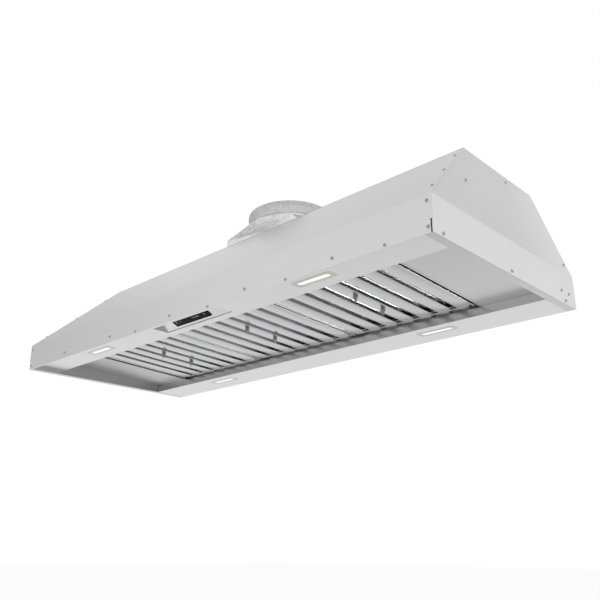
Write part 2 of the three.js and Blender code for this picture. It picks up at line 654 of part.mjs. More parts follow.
// ---- Duct ------------------------------------------------------------------------------
const circleOf = (radius, z) => [...Array(ROUND_STEPS).keys()].map((i) => {
  const angle = (i / ROUND_STEPS) * 2 * Math.PI;
  return new THREE.Vector3(radius * Math.cos(angle), ROOF_Y + radius * Math.sin(angle), z);
});
const squareOf = (half, z) =>
  [[-1, -1], [1, -1], [1, 1], [-1, 1]].map(([a, b]) =>
    new THREE.Vector3(a * half, ROOF_Y + b * half, z));

function addDuct() {
  const base = ROOF_HEIGHT + GAP;
  const form = (inset, bottom, top) => solid(new ConvexGeometry([
    ...squareOf(BOX_WIDTH / 2 - inset, bottom),
    ...squareOf(BOX_WIDTH / 2 - inset, BOX_TOP),
    ...circleOf(COLLAR_RADIUS - inset, top),
  ]));
  const brim = BOX_WIDTH + 2 * BOX_FLANGE;
  const shoulder = COLLAR_BOTTOM - GAP;
  const body = join(form(0, base, shoulder),
    centredBox(0, ROOF_Y, brim, brim, base, base + SHEET));
  const mouth = solid(new ConvexGeometry([
    ...circleOf(COLLAR_RADIUS - SHEET, shoulder - 1),
    ...circleOf(COLLAR_RADIUS - SHEET, shoulder + 5),
  ]));
  add('duct_transition', cut(body, form(SHEET, base - 5, shoulder), mouth), GALVANISED);

  const ring = tube(COLLAR_RADIUS - SHEET, COLLAR_RADIUS, COLLAR_BOTTOM, COLLAR_TOP, 'z',
    [0, ROOF_Y, 0], ROUND_STEPS);
  const reach = COLLAR_RADIUS + 10;
  const axleHole = rod(AXLE_RADIUS + RUNNING_CLEARANCE, -reach, reach, 'x', [0, ROOF_Y, DAMPER_Z]);
  add('duct_collar', cut(ring, axleHole), GALVANISED);
}

// Two half-round flaps that hang on one axle across the collar and close under their weight.
function addDamper() {
  const centre = [0, ROOF_Y, DAMPER_Z];
  const half = COLLAR_RADIUS + 0.6;
  add('damper_axle', rod(AXLE_RADIUS, -half, half, 'x', centre, 16), BRIGHT);
  const radius = COLLAR_RADIUS - SHEET - FLAP_CLEARANCE;
  const [z0, z1] = [-FLAP_THICKNESS / 2, FLAP_THICKNESS / 2];
  const disc = rod(radius, DAMPER_Z + z0, DAMPER_Z + z1, 'z', [0, ROOF_Y, 0], ROUND_STEPS);
  const third = radius / 3;
  const reach = radius + 5;
  const knuckles = {
    front: [[-2.6 * third, -1.6 * third], [1.6 * third, 2.6 * third]],
    rear: [[-1.4 * third, -0.4 * third], [0.4 * third, 1.4 * third]],
  };
  for (const [name, side] of [['front', -1], ['rear', 1]]) {
    const away = SLEEVE_RADIUS + RUNNING_CLEARANCE;
    const [y0, y1] = inOrder(ROOF_Y - side * reach, ROOF_Y + side * away);
    const leaf = cut(disc, box(-reach, reach, y0, y1, DAMPER_Z - 5, DAMPER_Z + 5));
    const bore = rod(AXLE_RADIUS + RUNNING_CLEARANCE, -reach, reach, 'x', centre);
    const sleeves = knuckles[name].map(([x0, x1]) => join(
      rod(SLEEVE_RADIUS, x0, x1, 'x', centre, 14),
      box(x0, x1, ...inOrder(ROOF_Y + side * 2, ROOF_Y + side * (away + 2)),
        DAMPER_Z + z0, DAMPER_Z + z1),
    ));
    add(`${name}_damper_flap`, cut(join(leaf, ...sleeves), bore), GALVANISED);
  }
}

// ---- Blower ----------------------------------------------------------------------------
const PAN_TOP = ROOF_HEIGHT - SEAT;
const PAN_FLOOR = PAN_TOP - PAN_DROP; // underside of the pan
const SCROLL_TOP = PAN_FLOOR - GAP;
const CUTOFF = Math.PI / 3;
const WHEEL_INNER_X = SCROLL_INNER_X + SHEET + 4;

// The volute in the plane across the rotor, made smaller all round by an inset.
function volute(inset, top) {
  const outline = [[ROTOR_Y + SCROLL_END - inset, top]];
  const turnAngle = 2 * Math.PI - CUTOFF;
  for (let step = 0; step <= VOLUTE_STEPS; step += 1) {
    const swept = (step / VOLUTE_STEPS) * turnAngle;
    const radius = SCROLL_END - (SCROLL_END - SCROLL_START) * (swept / (2 * Math.PI)) - inset;
    outline.push([ROTOR_Y + radius * Math.cos(-swept), ROTOR_Z + radius * Math.sin(-swept)]);
  }
  const last = outline[outline.length - 1];
  last[0] += 2 * inset;
  outline.push([last[0], top]);
  return outline;
}

const OUTLET_REAR = ROTOR_Y + SCROLL_END;
const OUTLET_FRONT = ROTOR_Y + Math.cos(CUTOFF)
  * (SCROLL_END - (SCROLL_END - SCROLL_START) * (1 - CUTOFF / (2 * Math.PI)));

function addScroll(name, side) {
  const [x0, x1] = inOrder(side * SCROLL_INNER_X, side * (SCROLL_INNER_X + SCROLL_WIDTH));
  const [inner0, inner1] = [x0 + SHEET, x1 - SHEET];
  const rim = SCROLL_RIM;
  const body = join(
    push(volute(0, SCROLL_TOP), 'x', x0, x1),
    box(x0 - rim, x1 + rim, OUTLET_FRONT - rim, OUTLET_REAR + rim, SCROLL_TOP - SHEET, SCROLL_TOP),
  );
  const centre = [0, ROTOR_Y, ROTOR_Z];
  const mouth = side > 0 ? [x1 - 5, x1 + 5] : [x0 - 5, x0 + 5];
  const back = side > 0 ? [x0 - 5, x0 + 5] : [x1 - 5, x1 + 5];
  add(`${name}_scroll`, cut(body,
    push(volute(SHEET, SCROLL_TOP + 5), 'x', inner0, inner1),
    rod(INLET_RADIUS, ...mouth, 'x', centre, INLET_STEPS),
    rod(SHAFT_HOLE, ...back, 'x', centre, 20),
  ), GALVANISED);
}

// A forward-curved wheel: back plate with a hub, blades and an inlet ring.
function addWheel(name, side) {
  const inside = (from, to) => inOrder(side * (WHEEL_INNER_X + from), side * (WHEEL_INNER_X + to));
  const centre = [0, ROTOR_Y, ROTOR_Z];
  const inner = WHEEL_RADIUS - BLADE_DEPTH;
  const plate = rod(WHEEL_RADIUS, ...inside(0, SHEET), 'x', centre, BLADES);
  const hub = rod(WHEEL_HUB, ...inside(0, HUB_LENGTH), 'x', centre, 16);
  const ring = tube(inner + 2, WHEEL_RADIUS, ...inside(WHEEL_WIDTH - SHEET, WHEEL_WIDTH), 'x',
    centre, BLADES);
  const polar = (radius, angle) =>
    [ROTOR_Y + radius * Math.cos(angle), ROTOR_Z + radius * Math.sin(angle)];
  const blades = [...Array(BLADES).keys()].map((i) => {
    const angle = ((i + 0.5) / BLADES) * 2 * Math.PI;
    const middle = inner + BLADE_DEPTH * 0.55;
    const outer = WHEEL_RADIUS - 1;
    const outline = [polar(inner, angle), polar(middle, angle + BLADE_LEAN * 0.3),
      polar(outer, angle + BLADE_LEAN), polar(outer, angle + BLADE_LEAN + BLADE_ARC),
      polar(middle, angle + BLADE_LEAN * 0.3 + BLADE_ARC), polar(inner, angle + BLADE_ARC)];
    return push(outline, 'x', ...inside(SHEET / 2, WHEEL_WIDTH - SHEET / 2));
  });
  const bore = rod(SHAFT_RADIUS + GAP, ...inside(-5, HUB_LENGTH + 5), 'x', centre, 16);
  add(`${name}_impeller`, cut(join(plate, hub, ring, ...blades), bore), GALVANISED);
}

function addMotor() {
  const centre = [0, ROTOR_Y, ROTOR_Z];
  const shaft = WHEEL_INNER_X + HUB_LENGTH + 3;
  add('motor_shaft', rod(SHAFT_RADIUS, -shaft, shaft, 'x', centre, 16), BRIGHT);
  const half = MOTOR_LENGTH / 2;
  const bell = [[MOTOR_RADIUS, half - 10], [MOTOR_RADIUS - 5, half - 5], [SHAFT_HOLE + 4, half - 3],
    [SHAFT_HOLE, half], [SHAFT_RADIUS + 2 * GAP, half]];
  const profile = [...bell.map(([r, x]) => [r, -x]).reverse(), ...bell];
  add('motor_body', turned([...profile, profile[0]], 28, 'x', centre), ENAMEL);

  // A strap round the motor, with two legs up to the blower pan.
  const [x0, x1] = [-CRADLE_WIDTH / 2, CRADLE_WIDTH / 2];
  const strap = MOTOR_RADIUS + GAP;
  const legs = [-1, 1].map((side) => {
    const [y0, y1] = inOrder(ROTOR_Y + side * strap, ROTOR_Y + side * (strap + SHEET));
    const [foot0, foot1] = inOrder(ROTOR_Y + side * strap, ROTOR_Y + side * (strap + SCROLL_RIM));
    return join(box(x0, x1, y0, y1, ROTOR_Z, SCROLL_TOP),
      box(x0, x1, foot0, foot1, SCROLL_TOP - SHEET, SCROLL_TOP));
  });
  add('motor_cradle', join(tube(strap, strap + SHEET, x0, x1, 'x', centre, 28), ...legs),
    GALVANISED);
}

// The pan that carries the blower; its walls stand up to the roof round the duct opening.
function addPan() {
  const half = PAN_LENGTH / 2;
  const depth = PAN_DEPTH / 2;
  const outer = join(
    centredBox(0, ROOF_Y, 2 * half, 2 * depth, PAN_FLOOR, PAN_TOP),
    centredBox(0, ROOF_Y, 2 * (half + PAN_FLANGE), 2 * depth, PAN_TOP - SHEET, PAN_TOP),
  );
  const hollow = centredBox(0, ROOF_Y, 2 * (half - SHEET), 2 * (depth - SHEET),
    PAN_FLOOR + SHEET, PAN_TOP + 5);
  const outlets = [-1, 1].map((side) => {
    const [x0, x1] = inOrder(side * (SCROLL_INNER_X + SHEET),
      side * (SCROLL_INNER_X + SCROLL_WIDTH - SHEET));
    return box(x0, x1, OUTLET_FRONT + SHEET, OUTLET_REAR - SHEET, PAN_FLOOR - 5, PAN_FLOOR + 5);
  });
  add('blower_pan', cut(outer, hollow, ...outlets), GALVANISED);
}

function addBlower() {
  addPan();
  for (const [name, side] of SIDES) {
    addScroll(name, side);
    addWheel(name, side);
  }
  addMotor();
}

// ---- Wiring boxes ----------------------------------------------------------------------
function addWiring() {
  const { x: length, y: width, z: height } = JUNCTION_BOX;
  const [x, y] = [JUNCTION_X, WIRING_Y];
  const floor = PAN_TOP - height;
  const shell = cut(
    centredBox(x, y, length, width, floor, PAN_TOP),
    centredBox(x, y, length - 2 * SHEET, width - 2 * SHEET, floor - 5, PAN_TOP - SHEET),
    glandHole(),
  );
  add('junction_box', shell, GALVANISED);
  const lidTop = floor - GAP;
  add('junction_box_cover', centredBox(x, y, length + 4, width + 4, lidTop - SHEET, lidTop),
    GALVANISED);

  const seat = ROOF_HEIGHT + GAP;
  const gland = [[CABLE_HOLE, PAN_TOP - SHEET - 8], [GLAND_RADIUS, PAN_TOP - SHEET - 8],
    [GLAND_RADIUS, seat], [GLAND_RADIUS + 5, seat], [GLAND_RADIUS + 5, seat + 7],
    [GLAND_RADIUS, seat + 8], [GLAND_RADIUS - 1, seat + 15], [CABLE_HOLE + 2, seat + 19],
    [CABLE_HOLE, seat + 19]];
  add('cable_gland', turned([...gland, gland[0]], 18, 'z', [x, y, 0]), PLASTIC);

  addDriver('power_module', POWER_MODULE, POWER_X);
  addDriver('led_driver', LED_DRIVER, DRIVER_X);
}

// A closed electronics case, screwed up under the roof by an ear at each end.
function addDriver(name, size, x) {
  const body = join(
    centredBox(x, WIRING_Y, size.x, size.y, PAN_TOP - size.z, PAN_TOP),
    centredBox(x, WIRING_Y, size.x + 2 * LAMP_EAR, size.y * 0.4, PAN_TOP - 2, PAN_TOP),
  );
  add(name, body, PLASTIC);
}

addShell();
addFrontRail();
addRearRail();
addRims();
addFillers();
addTouchPanel();
addLamps();
addFilters();
addDuct();
addDamper();
addBlower();
addWiring();

export default hood;
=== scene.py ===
import json
import math

import bmesh
import bpy
from mathutils import Matrix, Vector

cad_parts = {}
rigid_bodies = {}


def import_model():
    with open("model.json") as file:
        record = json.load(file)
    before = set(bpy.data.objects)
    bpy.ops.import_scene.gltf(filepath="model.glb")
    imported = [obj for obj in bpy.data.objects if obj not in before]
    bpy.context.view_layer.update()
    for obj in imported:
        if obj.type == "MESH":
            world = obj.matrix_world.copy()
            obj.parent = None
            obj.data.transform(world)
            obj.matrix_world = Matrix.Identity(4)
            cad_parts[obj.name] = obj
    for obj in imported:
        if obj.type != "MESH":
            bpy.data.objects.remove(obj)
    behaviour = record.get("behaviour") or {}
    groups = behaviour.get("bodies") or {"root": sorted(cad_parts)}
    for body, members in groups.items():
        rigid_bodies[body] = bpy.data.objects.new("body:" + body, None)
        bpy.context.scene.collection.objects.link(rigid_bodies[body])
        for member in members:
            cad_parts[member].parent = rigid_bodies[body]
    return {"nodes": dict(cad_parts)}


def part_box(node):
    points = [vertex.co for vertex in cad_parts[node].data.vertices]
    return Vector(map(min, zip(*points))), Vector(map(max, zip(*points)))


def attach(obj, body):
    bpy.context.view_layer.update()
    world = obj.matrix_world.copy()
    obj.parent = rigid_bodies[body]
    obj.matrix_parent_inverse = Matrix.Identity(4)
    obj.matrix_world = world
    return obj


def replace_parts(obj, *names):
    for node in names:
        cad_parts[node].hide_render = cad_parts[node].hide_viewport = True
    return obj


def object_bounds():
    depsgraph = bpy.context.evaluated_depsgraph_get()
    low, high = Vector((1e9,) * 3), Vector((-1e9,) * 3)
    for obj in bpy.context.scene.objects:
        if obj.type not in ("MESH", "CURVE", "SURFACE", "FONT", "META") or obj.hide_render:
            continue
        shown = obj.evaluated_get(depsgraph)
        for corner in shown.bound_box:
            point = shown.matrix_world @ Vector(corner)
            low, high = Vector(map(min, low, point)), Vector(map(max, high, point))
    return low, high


# The look of a range hood insert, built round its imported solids. Sizes and places are in
# millimetres, unless a comment says metres: x runs to the right, y to the rear and z up.
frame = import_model()
nodes = frame["nodes"]
cad_low, cad_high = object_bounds()

MM = 0.001  # in metres
FILTERS = (1, 2, 3)
ROWS = ("front", "rear")
SIDES = (("left", -1), ("right", 1))


def box_of(node):
    """The lowest and the highest corner of a CAD node."""
    return [[round(value / MM, 1) for value in corner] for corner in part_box(node)]


def at(point):
    """A move to a point."""
    return Matrix.Translation(Vector(point) * MM)


# ---------------------------------------------------------------- the body's sizes
FRONT = round(cad_low[1] / MM, 1)
REAR = round(cad_high[1] / MM, 1)
END = round(cad_high[0] / MM, 1)  # of the body, to both sides of its middle
KNEE = 79.0  # where the upright band bends into the slopes
ROOF = box_of("roof_panel")[1][2]
RISE = ROOF - KNEE  # of the slopes
FRONT_RUN = 253.0  # how far the front slope leans back
END_RUN = 67.0  # how far the slopes at both ends lean in
SHEET = 1.5
SHEET_GAP = 0.3  # between pieces that touch

# ---------------------------------------------------------------- camera
PHOTO_WIDTH = 600  # in pixels
FOCAL_LENGTH = 702.73  # in pixels
SENSOR_WIDTH = 36
CAMERA_PLACE = (1.3782, -1.2789, -0.5275)  # in metres
YAW = math.radians(43.874)
PITCH = math.radians(19.312)
ROLL = math.radians(0.237)


def fitted_camera():
    """The camera that was fitted to the photograph."""
    forward = Vector((-math.sin(YAW) * math.cos(PITCH), math.cos(YAW) * math.cos(PITCH),
                      math.sin(PITCH)))
    level = Vector((math.cos(YAW), math.sin(YAW), 0))
    upright = level.cross(forward)
    right = level * math.cos(ROLL) + upright * math.sin(ROLL)
    up = upright * math.cos(ROLL) - level * math.sin(ROLL)
    turn = Matrix((right, up, -forward)).transposed().to_4x4()
    camera = bpy.data.objects.new("camera", bpy.data.cameras.new("camera"))
    bpy.context.scene.collection.objects.link(camera)
    camera.data.sensor_fit = "HORIZONTAL"
    camera.data.sensor_width = SENSOR_WIDTH
    camera.data.lens = FOCAL_LENGTH * SENSOR_WIDTH / PHOTO_WIDTH
    camera.data.clip_end = 100
    camera.matrix_world = Matrix.Translation(CAMERA_PLACE) @ turn
    bpy.context.scene.camera = camera


fitted_camera()


# ---------------------------------------------------------------- materials
class Nodes:
    """Short hand for building a material's node tree."""

    def __init__(self, name):
        self.material = bpy.data.materials.new(name)
        self.material.use_nodes = True
        self.tree = self.material.node_tree
        self.shader = self.tree.nodes["Principled BSDF"]
        self.coords = self.tree.nodes.new("ShaderNodeTexCoord").outputs["Object"]

    def add(self, kind, links=None, **values):
        node = self.tree.nodes.new(kind)
        for key, value in values.items():
            setattr(node, key, value)
        for key, value in (links or {}).items():
            self.feed(node.inputs[key], value)
        return node

    def feed(self, socket, value):
        if isinstance(value, bpy.types.NodeSocket):
            self.tree.links.new(value, socket)
        else:
            socket.default_value = value

    def noise(self, stretch, detail=2.0):
        mapped = self.add("ShaderNodeMapping", {"Vector": self.coords, "Scale": stretch})
        made = self.add("ShaderNodeTexNoise", {
            "Vector": mapped.outputs["Vector"], "Scale": 1.0, "Detail": detail, "Roughness": 0.6})
        return made.outputs["Fac"]

    def spread(self, value, low, high, start=0.3, end=0.7):
        """What lies from start to end in value, spread from low to high."""
        made = self.add("ShaderNodeMapRange", {
            "Value": value, "From Min": start, "From Max": end, "To Min": low, "To Max": high})
        return made.outputs["Result"]

    def tint(self, value, dark, light):
        made = self.add("ShaderNodeMix", {"Factor": value}, data_type="RGBA")
        colours = [socket for socket in made.inputs if socket.type == "RGBA"]
        colours[0].default_value = (*dark, 1)
        colours[1].default_value = (*light, 1)
        return [socket for socket in made.outputs if socket.type == "RGBA"][0]

    def plus(self, one, two, weight):
        made = self.add("ShaderNodeMath", {0: two, 1: weight, 2: one}, operation="MULTIPLY_ADD")
        return made.outputs[0]

    def product(self, one, two):
        return self.add("ShaderNodeMath", {0: one, 1: two}, operation="MULTIPLY").outputs[0]

    def bump(self, height, distance):
        made = self.add("ShaderNodeBump", {"Height": height, "Distance": distance, "Strength": 1.0})
        self.feed(self.shader.inputs["Normal"], made.outputs["Normal"])

    def set(self, **values):
        """Feeds the main shader's inputs, with _ for the spaces in their names."""
        for key, value in values.items():
            self.feed(self.shader.inputs[key.replace("_", " ")], value)


def drawn_out(axis, along, across):
    """Noise scales for marks that are drawn out along one axis."""
    return tuple(along if letter == axis else across for letter in "xyz")


def brushed(name, axis, grey, rough=0.3, grain=0.000003, contrast=0.02, tone=(1, 1, 1.01)):
    """Brushed stainless: long fine scratches, faint wide bands and a few smudges."""
    made = Nodes(name)
    fine = made.noise(drawn_out(axis, 14, 1500))
    band = made.noise(drawn_out(axis, 1.2, 95), detail=3.0)
    smudge = made.noise((5, 6, 5.5), detail=3.0)
    shade = made.spread(made.plus(fine, band, 0.8), 0, 1, start=0.6, end=1.2)
    polish = made.spread(made.plus(band, smudge, 0.6), rough - 0.02, rough + 0.03,
                         start=0.5, end=1.1)
    dark = [grey * (1 - contrast) * part for part in tone]
    light = [grey * (1 + contrast) * part for part in tone]
    made.set(Base_Color=made.tint(shade, dark, light), Metallic=1.0, Roughness=polish)
    made.bump(fine, grain)
    return made.material


def galvanised(name, grey, metallic):
    """Zinc-coated sheet: a spangle of flat crystals."""
    made = Nodes(name)
    cells = made.add("ShaderNodeTexVoronoi", {"Vector": made.coords, "Scale": 120.0})
    shade = made.add("ShaderNodeSeparateColor", {"Color": cells.outputs["Color"]}).outputs["Red"]
    cloud = made.noise((30, 30, 30), detail=4.0)
    dark = (grey * 0.88,) * 3
    light = (grey * 1.08, grey * 1.08, grey * 1.1)
    made.set(
        Base_Color=made.tint(shade, dark, light),
        Metallic=metallic,
        Roughness=made.spread(made.plus(shade, cloud, 0.5), 0.32, 0.5, start=0.2, end=1.3),
    )
    made.bump(cloud, 0.00008)
    return made.material


def coated(name, colour, rough, scale, depth):
    """Enamel or moulded plastic with a fine pebbled surface."""
    made = Nodes(name)
    pebble = made.noise((scale,) * 3, detail=3.0)
    cloud = made.noise((12, 12, 12), detail=4.0)
    lighter = tuple(part * 1.25 + 0.004 for part in colour)
    made.set(
        Base_Color=made.tint(made.spread(cloud, 0, 1), colour, lighter),
        Roughness=made.spread(cloud, rough - 0.06, rough + 0.08),
    )
    made.bump(pebble, depth)
    return made.material


def glowing(name, colour, strength):
    """A frosted surface over a row of diodes."""
    made = Nodes(name)
    made.set(
        Base_Color=(*(0.25 * part for part in colour), 1),
        Roughness=0.35,
        Emission_Color=(*colour, 1),
        Emission_Strength=made.spread(made.noise((60, 4, 4), detail=1.0),
                                      strength * 0.94, strength * 1.06),
    )
    made.bump(made.noise((900,) * 3), 0.00003)
    return made.material


def smeared_glass(name):
    """Black glass with faint smears."""
    made = Nodes(name)
    smear = made.noise((40, 55, 50), detail=4.0)
    made.set(
        Base_Color=made.tint(made.spread(smear, 0, 1), (0.006, 0.0065, 0.008),
                             (0.012, 0.013, 0.015)),
        Roughness=made.spread(smear, 0.08, 0.16),
        Specular_IOR_Level=0.06,
    )
    return made.material


STEEL_X = brushed("steel_along_x", "x", 0.67)
STEEL_Y = brushed("steel_along_y", "y", 0.67)
INNER = brushed("steel_inner", "x", 0.56)
RIM = brushed("steel_rim", "y", 0.54)
# A darker copy of the steel for the rear rail's wall by the filters: painted shade.
WALL = brushed("steel_wall_painted_shade", "x", 0.61)
# A darker copy of the inner steel: painted shade, for the left filler, the left rim's inner leg and
# the control pocket's left wall.
SHADED = brushed("steel_left_painted_shade", "x", 0.46)
# Nearly black steel for the left strip: painted shade, the dark interior that the strip mirrors put
# into its colour.
PAINTED_SHADE_STRIP = brushed("steel_strip_painted_shade", "x", 0.12)
PLATE = brushed("steel_plate", "x", 0.82)
PAN = brushed("steel_pan", "y", 0.55, rough=0.24, grain=0.000001, contrast=0.04)
BAFFLE = brushed("steel_baffle", "y", 0.54, rough=0.13, contrast=0.05)
KNOB = brushed("steel_turned", "x", 0.3, rough=0.5, grain=0.000004)
SCREW = brushed("steel_screw", "x", 0.42, rough=0.22, grain=0.000004)
SPRING = brushed("steel_spring", "x", 0.5, rough=0.22)
TRIM = brushed("lamp_trim", "x", 0.64, rough=0.45, tone=(1.0, 0.97, 0.93))
ZINC = galvanised("galvanised_sheet", 0.56, 0.6)
# A lighter copy of the galvanised sheet for the duct transition: painted light, lifting it out of
# the shade of the parts round it.
PAINTED_LIGHT_ZINC = galvanised("galvanised_painted_light", 0.8, 0.7)
ENAMEL = coated("black_enamel", (0.02, 0.02, 0.022), 0.38, 350, 0.00006)
PLASTIC = coated("moulded_plastic", (0.03, 0.031, 0.034), 0.5, 900, 0.00005)
# Black for the screws' cross recesses: painted shade where the steel lies in shadow.
RECESS_PAINTED_SHADE = coated("recess_painted_shade", (0.02, 0.02, 0.02), 0.6, 500, 0.00002)
LENS = glowing("lamp_lens", (1.0, 0.965, 0.88), 0.82)
MARKS = glowing("panel_marks", (0.8, 0.83, 0.86), 0.16)
GLASS = smeared_glass("black_glass")


# ---------------------------------------------------------------- the CAD nodes that stay
def dress(material, *names):
    """One material all over each of these CAD nodes."""
    for name in names:
        mesh = nodes[name].data
        mesh.materials.clear()
        mesh.materials.append(material)


def dress_faces(material, name, wanted):
    """Another material on those faces of a CAD node that are wanted."""
    mesh = nodes[name].data
    mesh.materials.append(material)
    for face in mesh.polygons:
        if wanted(face):
            face.material_index = len(mesh.materials) - 1


FACING = 0.7  # least share of a face's normal that lies along the way it looks
LEDGE_END = 190  # the rear rail's wall by the filters lies in front of this


def looks_right(face):
    return face.normal.x > FACING


def on_ledge_wall(face):
    return face.normal.y < -FACING and face.center.y < LEDGE_END * MM


dress(ZINC, *nodes)
dress(STEEL_X, "roof_panel", "front_light_rail", "rear_light_rail")
dress(PLATE, "control_plate")
dress(RIM, "left_rim_channel", "right_rim_channel")
# Painted shade: the left filler takes the darkened copy of the inner steel.
dress(SHADED, "left_filler_panel")
dress(INNER, "right_filler_panel")
dress(LENS, *(f"{row}_{side}_lamp_lens" for row in ROWS for side, _ in SIDES))
dress(SPRING, *(f"filter_catch_{number}" for number in FILTERS))
dress(KNOB, "damper_axle", "motor_shaft")
dress(ENAMEL, "motor_body")
dress(GLASS, "touch_glass")
dress(PLASTIC, "touch_board", "cable_gland", "power_module", "led_driver")
# Painted shade on the rear rail's wall by the filters.
dress_faces(WALL, "rear_light_rail", on_ledge_wall)
# Painted shade on the faces that look right: the control pocket's left wall and the left rim's inner
# leg.
dress_faces(SHADED, "control_plate", looks_right)
dress_faces(SHADED, "left_rim_channel", looks_right)


# ---------------------------------------------------------------- making pieces
def mesh_of(name, work, materials=(), smooth=None):
    """A mesh of what was modelled, smooth across bends of less than so many degrees."""
    bmesh.ops.recalc_face_normals(work, faces=work.faces)
    mesh = bpy.data.meshes.new(name)
    work.to_mesh(mesh)
    work.free()
    for material in materials:
        mesh.materials.append(material)
    if smooth is not None:
        mesh.shade_smooth()
        mesh.set_sharp_from_angle(angle=math.radians(smooth))
    return mesh


def piece(name, mesh, body, place=Matrix.Identity(4)):
    """A new object in its place in the row frame, which rides on a body."""
    made = bpy.data.objects.new(name, mesh)
    bpy.context.scene.collection.objects.link(made)
    made.matrix_world = place
    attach(made, body)
    return made


def circle(radius, z, steps, x=0.0, y=0.0):
    """Points on a level circle."""
    turns = [2 * math.pi * i / steps for i in range(steps)]
    return [(x + radius * math.cos(turn), y + radius * math.sin(turn), z) for turn in turns]


def rounded_ring(x0, x1, y0, y1, radius, z, steps=6):
    """Points on a level rectangle with round corners."""
    points = []
    for x, y, quarter in ((x1, y1, 0), (x0, y1, 1), (x0, y0, 2), (x1, y0, 3)):
        cx = x - radius if x == x1 else x + radius
        cy = y - radius if y == y1 else y + radius
        for step in range(steps + 1):
            angle = (quarter + step / steps) * math.pi / 2
            points.append((cx + radius * math.cos(angle), cy + radius * math.sin(angle), z))
    return points


def corners(work, ring):
    return [work.verts.new(Vector(point) * MM) for point in ring]


def bridge(work, low, high):
    """Faces between two rings of the same number of corners."""
    for i in range(len(low)):
        j = (i + 1) % len(low)
        work.faces.new((low[i], low[j], high[j], high[i]))


def shell(work, rings):
    """A skin over rings of points, closed over the first and the last."""
    made = [corners(work, ring) for ring in rings]
    for low, high in zip(made, made[1:]):
        bridge(work, low, high)
    work.faces.new(made[-1])
    work.faces.new(list(reversed(made[0])))


def sleeve(work, rings):
    """A skin over rings of points that goes on from the last to the first."""
    made = [corners(work, ring) for ring in rings]
    for low, high in zip(made, made[1:] + made[:1]):
        bridge(work, low, high)


def softened(line, radius, steps=4):
    """A line of folds with an arc in place of each inner corner."""
    done = [Vector(line[0])]
    for before, corner, after in zip(line, line[1:], line[2:]):
        corner = Vector(corner)
        back = (Vector(before) - corner).normalized()
        ahead = (Vector(after) - corner).normalized()
        half = back.angle(ahead) / 2
        reach = radius / math.tan(half)
        centre = corner + (back + ahead).normalized() * (radius / math.sin(half))
        start = corner + back * reach - centre
        end = corner + ahead * reach - centre
        for step in range(steps + 1):
            share = step / steps
            done.append(centre + (start * (1 - share) + end * share).normalized() * radius)
    return done + [Vector(line[-1])]


def folded(work, line, axis, start, end, thickness, radius):
    """A folded sheet, thickened to the left of its line and pushed along x or y."""
    line = softened(line, radius)
    left = []
    for i, point in enumerate(line):
        pairs = list(zip(line, line[1:]))[max(i - 1, 0):i + 1]
        runs = [(after - before).normalized() for before, after in pairs]
        sides = [Vector((-run.y, run.x)) for run in runs]
        mitre = sum(sides, Vector((0, 0))).normalized()
        left.append(point + mitre * (thickness / mitre.dot(sides[0])))
    outline = line + list(reversed(left))
    if axis == "x":
        rings = [[(place, p.x, p.y) for p in outline] for place in (start, end)]
    else:
        rings = [[(p.x, place, p.y) for p in outline] for place in (start, end)]
    shell(work, rings)


def welded(node):
    """A CAD node's own shape, with its doubled corners joined."""
    work = bmesh.new()
    work.from_mesh(nodes[node].data)
    bmesh.ops.remove_doubles(work, verts=work.verts, dist=1e-6)
    return work


# ---------------------------------------------------------------- panels with real bends
BENDS = (  # radius, and the heights between which the edges lie that get it
    (9.0, KNEE - 9, KNEE + 11),
    (3.0, ROOF - 21, ROOF + 4),
)
SHORTEST_BEND = 200
BEND_ANGLES = (3, 60)  # in degrees


def edges_to_bend(work, low, high):
    found = []
    for edge in work.edges:
        if len(edge.link_faces) != 2 or edge.calc_length() < SHORTEST_BEND * MM:
            continue
        height = (edge.verts[0].co.z + edge.verts[1].co.z) / 2
        angle = math.degrees(edge.calc_face_angle(0))
        if low * MM < height < high * MM and BEND_ANGLES[0] < angle < BEND_ANGLES[1]:
            found.append(edge)
    return found


def bent(node, material):
    """The same sheet with round bends in place of its sharp ones."""
    work = welded(node)
    bmesh.ops.dissolve_limit(work, angle_limit=math.radians(0.5), verts=work.verts,
                             edges=work.edges)
    for radius, low, high in BENDS:
        bmesh.ops.bevel(work, geom=edges_to_bend(work, low, high), offset=radius * MM,
                        segments=6, profile=0.5, affect="EDGES", clamp_overlap=True)
    mesh = mesh_of(f"{node}_formed", work, (material,), smooth=24)
    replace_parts(piece(f"{node}_formed", mesh, "housing"), node)


bent("front_panel", STEEL_X)
bent("rear_panel", STEEL_X)
bent("left_end_panel", STEEL_Y)
bent("right_end_panel", STEEL_Y)

# ---------------------------------------------------------------- baffle filters
# They are modelled flat, with y = 0 at the rear rail and the front at -y, and z up from the
# ceiling that carries them. The matrix of on_ceiling() then puts them in place.
REAR_EDGE, CEILING_REAR = 183.0, 22.0
FRONT_EDGE, CEILING_FRONT = -193.0, 40.0
CEILING_TILT = math.atan2(CEILING_REAR - CEILING_FRONT, REAR_EDGE - FRONT_EDGE)
FILTER_PITCH = 381.5
FILTER_GAP = 5.0  # between two filters
FRONT_PLAY = 3.5  # between a filter's front and the ceiling's front edge
BAFFLES = 7
STEP = FILTER_PITCH / BAFFLES
SLOT = 17.0  # between two lower baffles
THIN = 0.8  # the filters' sheet
FOLD = 1.6  # inner radius of its folds
LIP_FOLD = 0.05  # inner radius of the side bars' sharper folds
CEILING_LENGTH = math.hypot(REAR_EDGE - FRONT_EDGE, CEILING_FRONT - CEILING_REAR)
FILTER_FRONT = FRONT_PLAY - CEILING_LENGTH
FILTER_REAR = -2.0
PAN_REAR = -11.5
PAN_HIGH = 3.0
